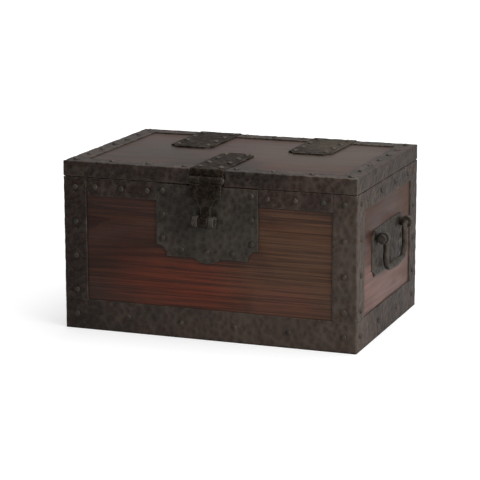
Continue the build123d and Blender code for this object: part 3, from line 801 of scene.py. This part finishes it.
def forge_bail(name, node, pivot, x_side):
    """One bail as a closed tube whose radius follows the forging."""
    route = bail_route()
    shape = bmesh.new()
    rings = []
    for index, p in enumerate(route):
        heading = (route[min(index + 1, len(route) - 1)] - route[max(index - 1, 0)]).normalized()
        normal = Vector((-heading.y, heading.x, 0))
        ring = []
        for turn in range(bail_sides):
            angle = math.tau * turn / bail_sides
            away = normal * math.cos(angle) + Vector((0, 0, 1)) * math.sin(angle)
            radius = bail_radius_at(p)
            # The bar stays smooth where it turns in its posts.
            if abs(p.x) < shoulder - 1 or p.y < -2:
                seed = p + away * radius + Vector((0, 0, 40 * x_side))
                radius -= bar_hammering * hammered(seed)
            spot = p + away * radius
            world = Vector((pivot[0] + spot.z, spot.x, pivot[2] + spot.y))
            ring.append(shape.verts.new(world * mm))
        rings.append(ring)
    for one, two in zip(rings, rings[1:]):
        for turn in range(bail_sides):
            after = (turn + 1) % bail_sides
            shape.faces.new([one[turn], one[after], two[after], two[turn]])
    for ring in (rings[0], rings[-1]):
        shape.faces.new(ring)
    bmesh.ops.recalc_face_normals(shape, faces=shape.faces)
    settle(name, shape, bail_iron, node)


bail_iron = forged_iron("bail_iron", "#282722", "#352E27", 0.6, 0.35)
for x_name, x_side in (("left", -1), ("right", 1)):
    pivot = turns_about["bail_" + x_name + "_swing"]
    forge_bail("bail_bar_" + x_name, "handle_bail_" + x_name, pivot, x_side)

# Lid board and its two battens. The board is lacquered like the case, glossy on top from
# polishing, and bare below. The battens are nailed under it across the grain.
lid_low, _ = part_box("lid_board")
# All below the lid's lower face is bare, as far out as the chest could reach.
lid_bare_low = (-1.0, -1.0, -1.0)
lid_bare_high = (1.0, 1.0, lid_low.z + skin)
# The lacquer on the lid is paler at the right, darker at the left, and darkest by the hasp.
lid_patches = [
    ("#54473A", 0.7, (110, 20, 232), (130, 110, 40)),
    ("#30271B", 0.6, (-110, -30, 232), (120, 100, 40)),
    ("#140F0B", 0.95, (0, -105, 232), (70, 64, 40)),
]
lid_pith = (0.05, 0.03, -0.42)
lid_finish = lacquered_wood("lid_lacquer", 0, lid_pith, lid_bare_low, lid_bare_high, lid_patches)
eased_copy("lid_board", wall_arris, lid_finish)
batten_arris = 0.6
for x_name in ("left", "right"):
    finish = bare_wood("batten_" + x_name + "_bare_wood", 1, (0.1, 0.0, -0.1))
    eased_copy("lid_batten_" + x_name, batten_arris, finish)

# Lid bands: angle strips folded over the four edges of the lid and mitred at its corners,
# parted at the hinges and at the hasp strap.
lid_corner = (box_mm("lid_strap_right")[1].x, -box_mm("lid_strap_front_left")[0].y)
for node, side in (
    ("lid_strap_front_left", "front"),
    ("lid_strap_front_right", "front"),
    ("lid_strap_left", "left"),
    ("lid_strap_right", "right"),
    ("lid_strap_back_left", "back"),
    ("lid_strap_back_middle", "back"),
    ("lid_strap_back_right", "back"),
):
    low, high = box_mm(node)
    long_way = side in ("front", "back")
    start, end = (low.x, high.x) if long_way else (low.y, high.y)
    half, out = lid_corner if long_way else lid_corner[::-1]
    flange = (high.y - low.y) if long_way else (high.x - low.x)
    runs, rows, _ = folded(flange, high.z - low.z)
    line = bend_line((out - flange, high.z), 0, runs, 1)
    mitred = [abs(start + half) < 0.1, abs(end - half) < 0.1]
    far_end = [(half - out + line(row)[0][0] if mitred[1] else end, row) for row in rows]
    near_end = [(-(half - out + line(row)[0][0]) if mitred[0] else start, row) for row in rows]
    if not mitred[1]:
        far_end = [far_end[0], far_end[-1]]
    if not mitred[0]:
        near_end = [near_end[0], near_end[-1]]
    forge_sheet(
        node,
        strap_iron,
        far_end + near_end[::-1],
        end_columns(start, end, *mitred),
        rows,
        line,
        ring_place(side, lid_corner),
        even(band_thickness),
    )

# Hinges: a leaf nailed on the lid and folded down over its back edge, a leaf on the back
# board, and a pin. The knuckles are the leaves' own sheet, rolled round the pin.
leaf_thickness = 3.0
leaf_fold = 3.4
leaf_fold_pitch = 0.8
leaf_drop_pitch = 2.0
leaf_notch = 9.0
hinge_bore = 2.75
hinge_wall = 2.7
knuckle_gap = 0.5
knuckle_clear = 5.5
roll_turn = math.radians(292)
roll_pitch = 0.55
thinning_run = 4.0
pin_arris = 0.35


def thinned(start, end, full, thin):
    """Sheet thickness that is full up to start and drawn thin by end."""

    def at(across):
        share = min(1.0, max(0.0, (across - start) / (end - start)))
        return full + (thin - full) * share

    return at


def leaf_outline(low, high, cut, top, own):
    """Cut of a leaf: a notched end at 0, and knuckles that run on past the cut to the top.
    Of the three places for knuckles, its own are let run and its mate's are cut away."""
    outline = arc((low, 0), leaf_notch, 90, 0) + arc((high, 0), leaf_notch, 180, 90)
    third = (high - low) / 3
    for index in (2, 1, 0):
        ease = knuckle_gap / 2 if index in own else -knuckle_gap / 2
        level = top if index in own else cut
        outline.append((low + (index + 1) * third - (ease if index < 2 else 0), level))
        outline.append((low + index * third + (ease if index > 0 else 0), level))
    return outline


def forge_leaf(node, place, start, face, pin_z, bore, wall, own):
    """Leaf that is rolled round a pin. One that starts above the pin runs flat to its face
    and folds down over the board's edge. One that starts below runs straight up."""
    if start[1] > pin_z:
        flat = face - start[0] - leaf_fold
        fold = leaf_fold * math.pi / 2
        drop_run = start[1] - leaf_fold - pin_z
        length = flat + fold + drop_run
        runs = [(flat, 0), (fold, -leaf_fold), (drop_run, 0)]
        rows = stepped(0, flat, sheet_pitch)
        rows += stepped(flat, flat + fold, leaf_fold_pitch)[1:]
        rows += stepped(flat + fold, length, leaf_drop_pitch)[1:]
        heading, side = 0, 1
    else:
        length = pin_z - start[1]
        runs = [(length, 0)]
        rows = stepped(0, length, sheet_pitch)
        heading, side = 90, -1
    roll = bore * roll_turn
    runs.append((roll, side * bore))
    rows += stepped(length, length + roll, roll_pitch)[1:]
    cut = length - knuckle_clear
    rows.append(cut - sheet_rim)
    low, high = box_mm(node)
    forge_sheet(
        node,
        leaf_iron,
        leaf_outline(low.x, high.x, cut, length + roll, own),
        stepped(low.x, high.x, sheet_pitch),
        sorted(rows),
        bend_line(start, heading, runs, side),
        place,
        thinned(length - thinning_run, length, leaf_thickness, wall),
    )


def back_place(along, point, depth):
    """Point of a hinge leaf: along the chest, outward at the back, and up."""
    return Vector((along, point[0], point[1]))


def front_place(along, point, depth):
    """Point of the hasp strap: along the chest, outward at the front, and up."""
    return Vector((along, -point[0], point[1]))


# The right leaf is worn paler on the lid.
leaf_patches = [("#4A443B", 0.7, (110, 90, 236), (60, 70, 40))]
leaf_iron = forged_iron("leaf_iron", "#181714", "#25201C", 0.5, 0.05, leaf_patches)
hinge_z = turns_about["lid_hinge"][2]
back_face = box_mm("hinge_back_leaf_left")[0].y + leaf_thickness
for x_name in ("left", "right"):
    node = "hinge_lid_leaf_" + x_name
    low, high = box_mm(node)
    start = (low.y, high.z)
    forge_leaf(node, back_place, start, back_face, hinge_z, hinge_bore, hinge_wall, (1,))
    node = "hinge_back_leaf_" + x_name
    start = (back_face, box_mm(node)[0].z)
    forge_leaf(node, back_place, start, back_face, hinge_z, hinge_bore, hinge_wall, (0, 2))
    eased_copy("hinge_pin_" + x_name, pin_arris, small_iron)

# Hasp: a strap on the lid, folded over its front edge and rolled round a pin, and the
# hasp that hangs from the pin, with an eye that comes between the two staples.
hasp_bore = 2.3
hasp_wall = 2.65
hasp_arris = 0.8
hasp_z = turns_about["hasp_hinge"][2]
front_face = leaf_thickness - box_mm("front_board")[0].y
low, high = box_mm("hasp_strap")
start = (-high.y, high.z)
forge_leaf("hasp_strap", front_place, start, front_face, hasp_z, hasp_bore, hasp_wall, (0, 2))
eased_copy("hasp_pin", pin_arris, small_iron)
eased_copy("hasp", hasp_arris, leaf_iron)

# Nails: every strap and plate is held by iron nails with hand-forged domed heads. The
# heads are a little uneven, and handling has rubbed their crowns.
nail_sides = 14
nail_share = 0.98
nail_lean = 0.12
nail_squash = 0.93
nail_lobes = 0.05
# Outline of a head: share of its radius, and of its height.
nail_dome = ((1.0, 0.0), (1.0, 0.22), (0.93, 0.42), (0.74, 0.72), (0.45, 0.92))
nail_iron = forged_iron("nail_head_iron", "#34322D", "#3F362E", 0.8, 0.3)
random.seed(7)


def islands(node):
    """The separate solids of a CAD node, each as its list of points in millimetres."""
    shape = welded(node)
    left = set(shape.verts)
    found = []
    while left:
        group, queue = [], [left.pop()]
        while queue:
            vert = queue.pop()
            group.append(vert.co / mm)
            for edge in vert.link_edges:
                other = edge.other_vert(vert)
                if other in left:
                    left.discard(other)
                    queue.append(other)
        found.append(group)
    shape.free()
    found.sort(key=lambda group: tuple(round(c, 2) for c in sum(group, Vector()) / len(group)))
    return found


def forge_nails(node, normal):
    """Domed heads in the place of each faceted one of a node."""
    shape = bmesh.new()
    out = Vector(normal)
    side_way = Vector((0, 0, 1)) if abs(out.z) < 0.5 else Vector((1, 0, 0))
    up_way = out.cross(side_way)
    for group in islands(node):
        heights = [p.dot(out) for p in group]
        seat = min(heights)
        height = max(heights) - seat
        middle = sum(group, Vector()) / len(group)
        middle -= out * (middle.dot(out) - seat)
        radius = max((p - middle - out * (p - middle).dot(out)).length for p in group) * nail_share
        skew = random.uniform(0, math.tau)
        lean = random.uniform(0.0, nail_lean)
        squash = random.uniform(nail_squash, 1.0)
        rings = []
        for share, rise in nail_dome:
            ring = []
            for turn in range(nail_sides):
                angle = math.tau * turn / nail_sides
                lobe = 0.5 + 0.5 * math.sin(3 * angle + skew)
                reach = radius * share * (1 - nail_lobes * lobe)
                reach *= squash if turn % 7 else 1.0
                rise_here = rise * (1 - lean * (0.5 + 0.5 * math.cos(angle + skew)))
                spot = middle + (side_way * math.cos(angle) + up_way * math.sin(angle)) * reach
                ring.append(shape.verts.new((spot + out * height * rise_here) * mm))
            rings.append(ring)
        crown = shape.verts.new((middle + out * height * (1 - lean / 2)) * mm)
        for one, two in zip(rings, rings[1:]):
            for turn in range(nail_sides):
                after = (turn + 1) % nail_sides
                shape.faces.new([one[turn], one[after], two[after], two[turn]])
        for turn in range(nail_sides):
            shape.faces.new([rings[-1][turn], rings[-1][(turn + 1) % nail_sides], crown])
        shape.faces.new(rings[0][::-1])
    bmesh.ops.recalc_face_normals(shape, faces=shape.faces)
    settle(node + "_domed", shape, nail_iron, node)


for node, normal in (
    ("case_nails_front", (0, -1, 0)),
    ("case_nails_back", (0, 1, 0)),
    ("case_nails_left", (-1, 0, 0)),
    ("case_nails_right", (1, 0, 0)),
    ("lock_plate_nails", (0, -1, 0)),
    ("handle_nails_left", (-1, 0, 0)),
    ("handle_nails_right", (1, 0, 0)),
    ("hinge_back_nails", (0, 1, 0)),
    ("lid_nails", (0, 0, 1)),
):
    forge_nails(node, normal)

# Studio: a wide pale floor, soft light from above, right and behind, and the camera at
# the photograph's angle.
floor_half = 12.0
floor_mesh = bpy.data.meshes.new("studio_floor")
floor_mesh.from_pydata(
    [(x * floor_half, y * floor_half, 0) for x, y in ((-1, -1), (1, -1), (1, 1), (-1, 1))],
    [],
    [(0, 1, 2, 3)],
)
floor = bpy.data.objects.new("studio_floor", floor_mesh)
bpy.context.scene.collection.objects.link(floor)


def backdrop_share(tree):
    """Two shares: 1 for camera rays, and 1 for those as well as gloss and glass rays."""
    path = add(tree, "LightPath").node.outputs
    by_camera = path["Is Camera Ray"]
    seen = add(tree, "Math", {0: by_camera, 1: path["Is Glossy Ray"]}, operation="MAXIMUM")
    seen = add(tree, "Math", {0: seen, 1: path["Is Transmission Ray"]}, operation="MAXIMUM")
    return by_camera, seen


# The floor glows white to the camera, a little less under the chest so that its shadow
# shows there, and is seen dimmer in the chest's gloss.
floor_glow = 0.62
floor_gloss = 0.25
floor_finish, tree, shader, place = new_finish("white_paper")
shader.inputs["Base Color"].default_value = linear("#C6C6C6")
shader.inputs["Roughness"].default_value = 1.0
shader.inputs["Specular IOR Level"].default_value = 0.0
by_camera, seen = backdrop_share(tree)
reach = add(tree, "VectorMath", {0: place}, "Value", operation="LENGTH")
white = add(tree, "MapRange", {0: reach, 1: 0.5, 2: 2.0, 3: floor_glow, 4: 1.0})
depth = add(tree, "SeparateXYZ", {0: place}, "Y")
shade = {0: depth, 1: -0.6, 2: 0.3, 4: floor_gloss}
behind = add(tree, "MapRange", shade, interpolation_type="SMOOTHSTEP")
glow = add(tree, "Mix", {0: by_camera, 2: behind, 3: white}, data_type="FLOAT")
strength = add(tree, "Math", {0: seen, 1: glow}, operation="MULTIPLY")
light = add(tree, "Emission", {"Color": linear("#FFFFFF"), "Strength": strength})
both = add(tree, "AddShader", {0: shader.outputs[0], 1: light})
tree.links.new(both, tree.nodes["Material Output"].inputs["Surface"])
floor_mesh.materials.append(floor_finish)

# The room is white to the camera. It lights the chest more from the right than from the
# left, and the chest's gloss sees it dark in front and brighter behind.
room_low = 0.12
room_high = 0.46
dark_side = 0.05
bright_side = 0.46
world = bpy.data.worlds.new("studio")
bpy.context.scene.world = world
world.use_nodes = True
tree = world.node_tree
backdrop = tree.nodes["Background"]
backdrop.inputs["Color"].default_value = linear("#FFFFFF")
by_camera, seen = backdrop_share(tree)
way = add(tree, "SeparateXYZ", {0: add(tree, "TexCoord", out="Generated")}).node.outputs
shade = {0: way["Y"], 1: -0.7, 2: 0.3, 3: dark_side, 4: bright_side}
behind = add(tree, "MapRange", shade, interpolation_type="SMOOTHSTEP")
glow = add(tree, "Mix", {0: by_camera, 2: behind, 3: 1.0}, data_type="FLOAT")
room_light = add(tree, "MapRange", {0: way["X"], 1: -1.0, 3: room_low, 4: room_high})
strength = add(tree, "Mix", {0: seen, 2: room_light, 3: glow}, data_type="FLOAT")
tree.links.new(strength, backdrop.inputs["Strength"])


def soft_lamp(name, position, size, power):
    """Large soft box that faces the chest."""
    lamp = bpy.data.lights.new(name, "AREA")
    lamp.shape = "DISK"
    lamp.size = size
    lamp.energy = power
    holder = bpy.data.objects.new(name, lamp)
    holder.location = position
    aim = Vector((0, 0, 0.12)) - Vector(position)
    holder.rotation_euler = aim.to_track_quat("-Z", "Y").to_euler()
    bpy.context.scene.collection.objects.link(holder)


soft_lamp("top_soft_box", (0.2, 0.4, 2.2), 1.8, 30.0)
soft_lamp("right_soft_box", (1.5, -0.8, 0.75), 1.3, 17.5)

# The camera was fitted to the box's corners in the photograph, and stands 2.8 m off.
view_width = 420.0
camera_azimuth = math.radians(20.47)
camera_elevation = math.radians(12.4)
camera_roll = math.radians(-0.137)
camera_distance = 6.676 * view_width
shift_right = -0.014 * view_width
shift_up = -0.0181 * view_width
view_middle = Vector((0, 0, 0.278 * view_width))
back = Vector(
    (
        math.sin(camera_azimuth) * math.cos(camera_elevation),
        -math.cos(camera_azimuth) * math.cos(camera_elevation),
        math.sin(camera_elevation),
    )
)
right = Vector((0, 0, 1)).cross(back).normalized()
up = back.cross(right)
camera_data = bpy.data.cameras.new("camera")
camera_data.lens = 150
camera_data.sensor_width = 36
camera = bpy.data.objects.new("camera", camera_data)
bpy.context.scene.collection.objects.link(camera)
position = view_middle + back * camera_distance + right * shift_right + up * shift_up
turned_right = right * math.cos(camera_roll) + up * math.sin(camera_roll)
turned_up = back.cross(turned_right)
axes = Matrix((turned_right, turned_up, back)).transposed().to_4x4()
camera.matrix_world = Matrix.Translation(position * mm) @ axes
bpy.context.scene.camera = camera
bpy.context.scene.view_settings.view_transform = "Standard"

bpy.context.view_layer.update()
